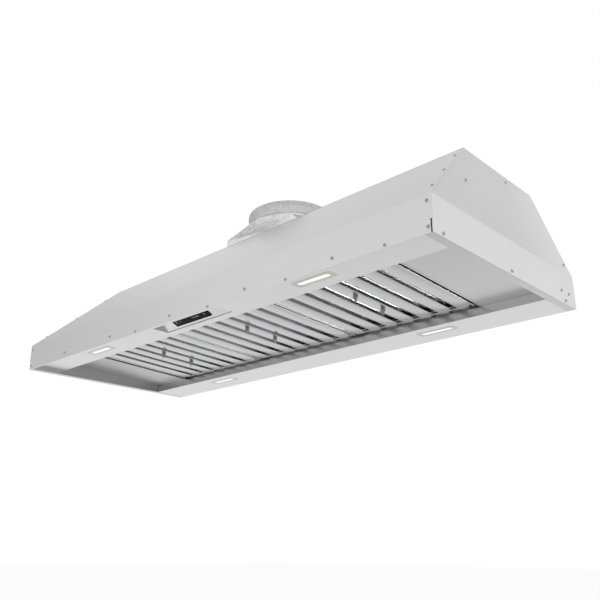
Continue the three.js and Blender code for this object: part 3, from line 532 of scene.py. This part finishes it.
CROWN = (  # a pan's underside from its middle outwards: in from its sides, from its ends, height
    (17.0, 30.0, 0.0), (12.0, 20.0, 0.13), (8.0, 13.0, 0.38), (5.0, 8.0, 0.7),
    (2.5, 4.0, 1.1), (0.8, 1.4, 1.5), (0.0, 0.0, 1.85), (0.0, 0.0, PAN_HIGH),
)
SIDE_MARGIN = 0.3  # what a pan's corner arcs leave of its half width
SMALLEST_CORNER = 0.4
FRAME_HALF = (FILTER_PITCH - FILTER_GAP) / 2
FRAME_LOW, FRAME_HIGH = 9.8, 17.5
FRAME_LIP = 0.9  # height of the lips under the side bars
LIP_WIDTH = 5.6
SIDE_BAR = 20.0
END_BAR = 14.0
END_GAP = 0.4  # between the long pieces and the frame's ends
CAP_HALF = 22.7
CAP_LOW, CAP_HIGH = 2.5, 20.8
CAP_ENDS = 15.8  # top of the upper baffles under the frame's bars
CAP_FRONT = FILTER_FRONT + 15.0  # where the upper baffles step up to their full height
CAP_REAR = PAN_REAR - 6.0
CAP_PARTS = (  # start, end, low and high of each stretch of an upper baffle
    (FILTER_FRONT + END_GAP, CAP_FRONT, CAP_LOW, CAP_ENDS),
    (CAP_FRONT, CAP_REAR, CAP_LOW, CAP_HIGH),
    (CAP_REAR, PAN_REAR, CAP_LOW, CAP_ENDS),
    (PAN_REAR, FILTER_REAR - END_GAP, FRAME_LOW, CAP_ENDS),
)


def on_ceiling(x):
    return at((x, REAR_EDGE, CEILING_REAR)) @ Matrix.Rotation(CEILING_TILT, 4, "X")


def lower_baffle(work, x):
    """A pressed pan: rounded ends that roll up, a crowned underside, and an open top."""
    half = (STEP - SLOT) / 2
    inside = [(side + THIN, end + THIN, min(z + THIN, PAN_HIGH)) for side, end, z in reversed(CROWN)]
    rings = []
    for side, end, z in (*CROWN, *inside):
        radius = max(half - SIDE_MARGIN - side, SMALLEST_CORNER)
        rings.append(rounded_ring(x - half + side, x + half - side, FILTER_FRONT + end,
                                  PAN_REAR - end, radius, z))
    shell(work, rings)


def upper_baffle(work, x):
    """A folded cap upside down over a slot, lower where it runs under the frame's bars."""
    left, right = x - CAP_HALF, x + CAP_HALF
    for start, end, low, high in CAP_PARTS:
        line = [(right, low), (right, high), (left, high), (left, low)]
        folded(work, line, "y", start, end, THIN, FOLD)


def side_bar(work, side):
    """The frame's bar at one side: lipped along the pans and plain behind them."""
    outer, inner = side * FRAME_HALF, side * (FRAME_HALF - SIDE_BAR)
    lipped = [(outer - side * LIP_WIDTH, FRAME_LIP), (outer, FRAME_LIP), (outer, FRAME_HIGH),
              (inner, FRAME_HIGH), (inner, CAP_LOW)]
    plain = [(outer, FRAME_LOW), (outer, FRAME_HIGH), (inner, FRAME_HIGH), (inner, FRAME_LOW)]
    if side < 0:
        lipped.reverse()
        plain.reverse()
    folded(work, lipped, "y", FILTER_FRONT + END_GAP, PAN_REAR, THIN, LIP_FOLD)
    folded(work, plain, "y", PAN_REAR, FILTER_REAR - END_GAP, THIN, FOLD)


def end_bar(work, far, inwards):
    """The frame's bar at its front or its rear end."""
    near = far + inwards * END_BAR
    bar = [(near, FRAME_LOW), (far, FRAME_LOW), (far, FRAME_HIGH), (near, FRAME_HIGH)]
    if far < near:
        bar.reverse()
    folded(work, bar, "x", -FRAME_HALF, FRAME_HALF, THIN, FOLD)


def filter_mesh():
    work = bmesh.new()
    places = [(i - (BAFFLES - 1) / 2) * STEP for i in range(BAFFLES)]
    for x in places:
        lower_baffle(work, x)
    for face in work.faces:
        face.material_index = 1
    for x in places[1:]:
        upper_baffle(work, x - STEP / 2)
    for _, side in SIDES:
        side_bar(work, side)
    end_bar(work, FILTER_FRONT, 1)
    end_bar(work, FILTER_REAR, -1)
    return mesh_of("filter", work, (BAFFLE, PAN), smooth=20)


KNOB_SPACING = 106
KNOB_SHIFT = 4  # to the right of the filter's middle
KNOB_STEPS = 40
KNOB_PROFILE = (  # radius and z, from its foot down to its tip
    (5.8, -0.3), (5.8, -6.6), (5.65, -7.3), (5.2, -7.8), (4.4, -8.1), (3.7, -8.5), (3.4, -9.2),
    (3.4, -14.6), (3.25, -15.1), (2.9, -15.4), (2.3, -15.5),
)


def knob_mesh():
    work = bmesh.new()
    shell(work, [circle(radius, z, KNOB_STEPS) for radius, z in KNOB_PROFILE])
    return mesh_of("knob", work, (KNOB,), smooth=40)


FILTER_MESH = filter_mesh()
KNOB_MESH = knob_mesh()
for number in FILTERS:
    body = f"filter_{number}"
    place = on_ceiling((number - 2) * FILTER_PITCH)
    made = piece(f"filter_{number}_formed", FILTER_MESH, body, place)
    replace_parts(made, f"baffle_filter_{number}")
    for row, way in zip(ROWS, (-1, 1)):
        foot = at((KNOB_SHIFT, FILTER_FRONT / 2 + way * KNOB_SPACING / 2, 0))
        made = piece(f"knob_{number}_{row}_turned", KNOB_MESH, body, place @ foot)
        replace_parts(made, f"filter_knob_{number}_{row}")

STRIP_OUTER = box_of("right_bank_strip")[1][0]
STRIP_WIDTH = 5.0
STRIP_HIGH = 18.0
STRIP_SHEET, STRIP_FOLD = 1.2, 0.3
STRIP_FRONT, STRIP_REAR = -376.1, -0.7  # on the ceiling, as the filters are


def strip_mesh(side, material):
    """The narrow channel between the bank and a filler panel."""
    inner = STRIP_OUTER - STRIP_WIDTH
    line = [(inner, STRIP_HIGH), (inner, 0), (STRIP_OUTER, 0), (STRIP_OUTER, STRIP_HIGH)]
    if side < 0:
        line = [(-x, z) for x, z in reversed(line)]
    work = bmesh.new()
    folded(work, line, "y", STRIP_FRONT, STRIP_REAR, STRIP_SHEET, STRIP_FOLD)
    return mesh_of("strip", work, (material,), smooth=15)


# The left strip gets the nearly black steel, which is painted shade.
for (name, side), material in zip(SIDES, (PAINTED_SHADE_STRIP, INNER)):
    mesh = strip_mesh(side, material)
    made = piece(f"{name}_strip_formed", mesh, "housing", on_ceiling(0))
    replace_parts(made, f"{name}_bank_strip")

# ---------------------------------------------------------------- front seam
SEAM = ((0.5, 24.9), (0.28, 25.3), (0.1, 25.7), (0.05, 25.96))  # behind the front, and height
SEAM_DEPTH = 1.1
SEAM_END = END - 4.2


def seam_mesh():
    """The rolled edge that closes the joint between the front panel and its lower leg."""
    face = [(FRONT + behind, z) for behind, z in SEAM]
    outline = face + [(y + SEAM_DEPTH, z) for y, z in reversed(face)]
    work = bmesh.new()
    shell(work, [[(x, y, z) for y, z in outline] for x in (-SEAM_END, SEAM_END)])
    return mesh_of("seam", work, (STEEL_X,), smooth=60)


piece("front_seam", seam_mesh(), "housing")

# ---------------------------------------------------------------- duct
collar_low, collar_high = box_of("duct_collar")
DUCT_Y = (collar_low[1] + collar_high[1]) / 2
COLLAR_RADIUS = collar_high[0]
COLLAR_TOP = collar_high[2]
COLLAR_FOOT = 383.2
COLLAR_INNER = COLLAR_RADIUS - SHEET
COLLAR_STEPS = 128
HEM_HEIGHT, HEM_ROUND = 0.6, 0.4  # of the collar's mouth
BEAD_Z = 410.8
BEAD = ((0.0, 3.3), (0.5, 2.2), (1.3, 1.2), (1.6, 0.0))  # out from the wall, and from its middle


def collar_mesh():
    """A rolled ring with a hem at its mouth and a stiffening bead."""
    below = [(COLLAR_RADIUS + out, BEAD_Z - away) for out, away in BEAD]
    above = [(COLLAR_RADIUS + out, BEAD_Z + away) for out, away in reversed(BEAD[:-1])]
    profile = [
        (COLLAR_INNER, COLLAR_FOOT), (COLLAR_RADIUS, COLLAR_FOOT), *below, *above,
        (COLLAR_RADIUS, COLLAR_TOP - HEM_HEIGHT), (COLLAR_RADIUS - HEM_ROUND, COLLAR_TOP),
        (COLLAR_INNER + HEM_ROUND, COLLAR_TOP), (COLLAR_INNER, COLLAR_TOP - HEM_HEIGHT),
    ]
    work = bmesh.new()
    sleeve(work, [circle(radius, z, COLLAR_STEPS, y=DUCT_Y) for radius, z in profile])
    return mesh_of("collar", work, (ZINC,), smooth=40)


# The transition takes the lighter galvanised copy, which is painted light.
transition = mesh_of("duct_transition_formed", welded("duct_transition"), (PAINTED_LIGHT_ZINC,), smooth=20)
made = piece("duct_transition_formed", transition, "housing")
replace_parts(made, "duct_transition")
made = piece("duct_collar_formed", collar_mesh(), "housing")
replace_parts(made, "duct_collar")

# ---------------------------------------------------------------- lamp trims
TRIM_RINGS = (  # half length, half width, corner radius and z, from outside to inside
    (56.0, 16.0, 6.0, 0.0), (56.0, 16.0, 6.0, -0.3), (55.6, 15.6, 5.6, -0.6),
    (45.4, 7.4, 5.7, -0.6), (45.0, 7.0, 5.5, -0.3), (45.0, 7.0, 5.5, 0.0),
)


def trim_mesh():
    """A thin pressed ring round a lamp lens, its upper face on z = 0."""
    work = bmesh.new()
    sleeve(work, [rounded_ring(-x, x, -y, y, radius, z, steps=10)
                  for x, y, radius, z in TRIM_RINGS])
    return mesh_of("trim", work, (TRIM,), smooth=35)


TRIM_MESH = trim_mesh()
for row in ROWS:
    for side, _ in SIDES:
        low, high = box_of(f"{row}_{side}_lamp_lens")
        middle = ((low[0] + high[0]) / 2, (low[1] + high[1]) / 2, low[2] - SHEET_GAP)
        piece(f"{row}_{side}_lamp_trim", TRIM_MESH, "housing", at(middle))

# ---------------------------------------------------------------- signs on the touch panel
# They are modelled flat, with z out of the plate, and turned to lie on the glass.
PLATE_SLOPE = 0.45
PLATE_EDGE = (0, -219, box_of("control_plate")[0][2])
ON_PLATE = at(PLATE_EDGE) @ Matrix.Rotation(math.pi - math.atan(PLATE_SLOPE), 4, "X")
GLASS_Z = 2.3
MARK_TOP = 2.36
MARKS_Y = 22.0
RING_STEPS = 28


def mark_bar(work, x, y, length, width):
    shell(work, [rounded_ring(x - length / 2, x + length / 2, y - width / 2, y + width / 2,
                              width * 0.4, z, steps=3) for z in (GLASS_Z, MARK_TOP)])


def mark_ring(work, x, y, radius, width):
    section = ((radius - width, GLASS_Z), (radius, GLASS_Z), (radius, MARK_TOP),
               (radius - width, MARK_TOP))
    sleeve(work, [circle(r, z, RING_STEPS, x, y) for r, z in section])


def mark_mesh():
    """Plain signs: a ring with a bar, a short bar, four level bars and a dot with a ring."""
    work = bmesh.new()
    mark_ring(work, -66, MARKS_Y, 3.6, 0.8)
    mark_bar(work, -66, MARKS_Y + 2.2, 0.8, 4.0)
    mark_bar(work, -50, MARKS_Y, 7, 1.0)
    for i in range(4):
        mark_bar(work, -1 + i * 7.5, MARKS_Y, 5.5, 1.6 + i * 0.7)
    mark_ring(work, 46, MARKS_Y, 3.2, 0.7)
    mark_bar(work, 46, MARKS_Y, 1.4, 1.4)
    return mesh_of("marks", work, (MARKS,))


piece("panel_marks", mark_mesh(), "housing", ON_PLATE)

# ---------------------------------------------------------------- screws
SCREW_PROFILE = ((3.9, 0.0), (3.9, 0.5), (3.6, 1.1), (2.9, 1.6), (1.9, 1.9), (1.0, 2.0))
SCREW_STEPS = 24
RECESS_SIZE = (4.2, 0.9, 1.6)
RECESS_Z = 1.6
SCREW_TWIST = 1.3  # in radians, from each screw to the next
FRONT_STEP = 0.5  # how far the front rail's leg lies behind the front
FROM_CORNER = 9.0  # of the screws along the front's corners


def screw_mesh():
    """A pan head with a cross recess, its underside on z = 0."""
    work = bmesh.new()
    shell(work, [circle(radius, z, SCREW_STEPS) for radius, z in SCREW_PROFILE])
    head = bpy.data.objects.new("screw_head", mesh_of("screw", work, (SCREW,)))
    cutter = bmesh.new()
    for angle in (0, math.pi / 2):
        bar = Matrix.Diagonal((*(side * MM for side in RECESS_SIZE), 1))
        place = Matrix.Rotation(angle, 4, "Z") @ at((0, 0, RECESS_Z)) @ bar
        bmesh.ops.create_cube(cutter, size=1, matrix=place)
    tool = bpy.data.objects.new("recess", mesh_of("recess", cutter, (RECESS_PAINTED_SHADE,)))
    for made in (head, tool):
        bpy.context.scene.collection.objects.link(made)
    carve = head.modifiers.new("carve", "BOOLEAN")
    carve.object = tool
    carve.solver = "EXACT"
    carve.use_self = True
    # The cut faces take the cutter's black: painted shade in the cross recess.
    carve.material_mode = "TRANSFER"
    bpy.context.view_layer.update()
    carved = head.evaluated_get(bpy.context.evaluated_depsgraph_get())
    done = bpy.data.meshes.new_from_object(carved)
    bpy.data.objects.remove(head)
    bpy.data.objects.remove(tool)
    done.shade_smooth()
    done.set_sharp_from_angle(angle=math.radians(32))
    return done


def end_screws(side):
    """The screws near one end, as screw_places() gives them."""
    for y, z in ((FRONT, 64), (FRONT + FRONT_STEP, 12)):
        yield (side * (END - FROM_CORNER), y, z), (0, -1, 0), 1.0
    for y, z in ((-264, 7), (-10, 7.5), (245, 8), (228, 29.5), (267, 29.5)):
        yield (side * END, y, z), (side, 0, 0), 1.0
    for share in (0.15, 0.48, 0.825):  # up the hip, on the front slope
        x = side * (END - FROM_CORNER - END_RUN * share)
        yield (x, FRONT + FRONT_RUN * share, KNEE + RISE * share), (0, -RISE, FRONT_RUN), 1.0
    for y, z in ((-111, 190), (129, 291), (279, 109)):
        x = END - END_RUN * (z - KNEE) / RISE
        yield (side * x, y, z), (side * RISE, 0, END_RUN), 1.0


def screw_places():
    """Each screw's point on the sheet, the way it faces and its size."""
    for x in (-540, -292, -18, 263, 524):
        yield (x, FRONT + FRONT_STEP, 16.5), (0, -1, 0), 1.0
    for x in (-167, 133, 392, 655):
        yield (x, FRONT + FRONT_STEP, 5.5), (0, -1, 0), 0.9
    for _, side in SIDES:
        yield from end_screws(side)
    for x in (-600, -360, -120, 120, 360, 600):
        yield (x, REAR, 22), (0, 1, 0), 1.0
    for x in (-640, -320, 320, 640):
        for y in (-35, 257):
            yield (x, y, ROOF), (0, 0, 1), 1.0


SCREW_MESH = screw_mesh()
for number, (point, facing, size) in enumerate(screw_places(), 1):
    turned = Vector(facing).to_track_quat("Z", "Y").to_matrix().to_4x4()
    twist = Matrix.Rotation(number * SCREW_TWIST, 4, "Z")
    place = at(point) @ turned @ twist @ Matrix.Scale(size, 4)
    piece(f"screw_{number:02d}", SCREW_MESH, "housing", place)

# ---------------------------------------------------------------- stage
WORLD_LOW, WORLD_HIGH = 1.13, 0.89  # its strength below and above
WORLD_LEFT = (0.5, 0.5, 0.51, 1)
WORLD_RIGHT = (1.0, 1.0, 1.0, 1)
WORLD_STOPS = (  # place from left to right, and grey level
    (0.085, 0.65), (0.125, 0.92), (0.157, 0.92), (0.255, 0.9), (0.5, 0.96), (0.57, 0.98),
    (0.7, 0.85), (0.75, 1.04),
)


def studio_world():
    """White for the camera; for the rest, even light that falls off leftwards and upwards."""
    world = bpy.data.worlds.new("world")
    bpy.context.scene.world = world
    world.use_nodes = True
    tree = world.node_tree
    tree.nodes.clear()

    def add(kind, **links):
        node = tree.nodes.new(kind)
        for key, value in links.items():
            socket = node.inputs[key.replace("_", " ")]
            if isinstance(value, bpy.types.NodeSocket):
                tree.links.new(value, socket)
            else:
                socket.default_value = value
        return node

    coords = add("ShaderNodeTexCoord")
    split = add("ShaderNodeSeparateXYZ", Vector=coords.outputs["Generated"])
    across = add("ShaderNodeMapRange", Value=split.outputs["X"], From_Min=-1.0, From_Max=1.0)
    ramp = add("ShaderNodeValToRGB", Fac=across.outputs["Result"])
    stops = ramp.color_ramp.elements
    stops[0].color = WORLD_LEFT
    stops[1].color = WORLD_RIGHT
    for place, level in WORLD_STOPS:
        stops.new(place).color = (level, level, level, 1)
    height = add("ShaderNodeMapRange", Value=split.outputs["Z"], From_Min=0.3, From_Max=0.7,
                 To_Min=WORLD_LOW, To_Max=WORLD_HIGH)
    light = add("ShaderNodeBackground", Color=ramp.outputs["Color"],
                Strength=height.outputs["Result"])
    seen = add("ShaderNodeBackground", Color=(1, 1, 1, 1), Strength=1.0)
    path = add("ShaderNodeLightPath")
    mix = add("ShaderNodeMixShader", Fac=path.outputs["Is Camera Ray"])
    tree.links.new(light.outputs[0], mix.inputs[1])
    tree.links.new(seen.outputs[0], mix.inputs[2])
    add("ShaderNodeOutputWorld", Surface=mix.outputs[0])


studio_world()

# In metres, and the floor's glow in shares of white.
FLOOR_SIZE = 12
FLOOR_Z = -0.9
# The glow dims towards the middle: a painted shadow of the hood, seen only in reflections.
GLOW_NEAR, GLOW_FAR = (0.5, 0.65), (2.0, 1.02)  # distance from the middle, and level
CAMERA_SHARE, GLOSSY_SHARE = 0.8, 0.9  # how much of the glow these rays see


def floor_material():
    """Matt white; its glow is what the pale studio round it would add, dimmed near the middle as a
    painted shadow under the hood. Clear from below.
    """
    made = Nodes("floor")
    made.set(
        Base_Color=made.tint(made.noise((3, 3, 3)), (0.84, 0.84, 0.84), (0.88, 0.88, 0.88)),
        Roughness=0.8,
    )
    path = made.add("ShaderNodeLightPath")
    camera_ray = path.outputs["Is Camera Ray"]
    reach = made.add("ShaderNodeVectorMath", {0: made.coords}, operation="LENGTH")
    shade = made.add("ShaderNodeMapRange", {
        "Value": reach.outputs["Value"], "From Min": GLOW_NEAR[0], "From Max": GLOW_FAR[0],
        "To Min": GLOW_NEAR[1], "To Max": GLOW_FAR[1]}, interpolation_type="SMOOTHSTEP")
    level = made.add("ShaderNodeMath", {0: camera_ray, 1: shade.outputs["Result"]},
                     operation="MAXIMUM")
    glow = made.add("ShaderNodeEmission", {"Color": (1, 1, 1, 1), "Strength": level.outputs[0]})
    share = made.plus(made.product(camera_ray, CAMERA_SHARE), path.outputs["Is Glossy Ray"],
                      GLOSSY_SHARE)
    lit = made.add("ShaderNodeMixShader", {"Fac": share})
    made.tree.links.new(made.shader.outputs[0], lit.inputs[1])
    made.tree.links.new(glow.outputs[0], lit.inputs[2])
    side = made.add("ShaderNodeNewGeometry")
    from_below = made.product(side.outputs["Backfacing"], camera_ray)
    clear = made.add("ShaderNodeBsdfTransparent")
    shown = made.add("ShaderNodeMixShader", {"Fac": from_below})
    made.tree.links.new(lit.outputs[0], shown.inputs[1])
    made.tree.links.new(clear.outputs[0], shown.inputs[2])
    out = made.tree.nodes["Material Output"]
    made.tree.links.new(shown.outputs[0], out.inputs["Surface"])
    return made.material


def studio_floor():
    work = bmesh.new()
    bmesh.ops.create_grid(work, x_segments=8, y_segments=8, size=FLOOR_SIZE)
    floor = bpy.data.objects.new("floor", mesh_of("floor", work, (floor_material(),)))
    floor.location = (0, 0, FLOOR_Z)
    bpy.context.scene.collection.objects.link(floor)


studio_floor()

LAMP_SIZE = (0.95, 0.5)  # in metres
LAMP_POWER = 1.5  # in watts
LAMP_SPREAD = math.radians(36)
LAMP_PLACE = Vector((1.44, 1.2, -0.66))  # in metres
LAMP_TARGET = Vector((0.5, 0, 0))  # in metres


def filter_lamp():
    """A low lamp behind to the right, for the filters alone: their upper layer mirrors it."""
    lamp = bpy.data.objects.new("light_panel", bpy.data.lights.new("light_panel", "AREA"))
    lamp.data.shape = "RECTANGLE"
    lamp.data.size, lamp.data.size_y = LAMP_SIZE
    lamp.data.energy = LAMP_POWER
    lamp.data.spread = LAMP_SPREAD
    lamp.visible_camera = False
    lamp.location = LAMP_PLACE
    lamp.rotation_euler = (LAMP_TARGET - LAMP_PLACE).to_track_quat("-Z", "Y").to_euler()
    bpy.context.scene.collection.objects.link(lamp)
    lit = bpy.data.collections.new("lit_by_panel")
    for number in FILTERS:
        lit.objects.link(bpy.data.objects[f"filter_{number}_formed"])
    lamp.light_linking.receiver_collection = lit


filter_lamp()

bpy.context.scene.view_settings.view_transform = "Standard"
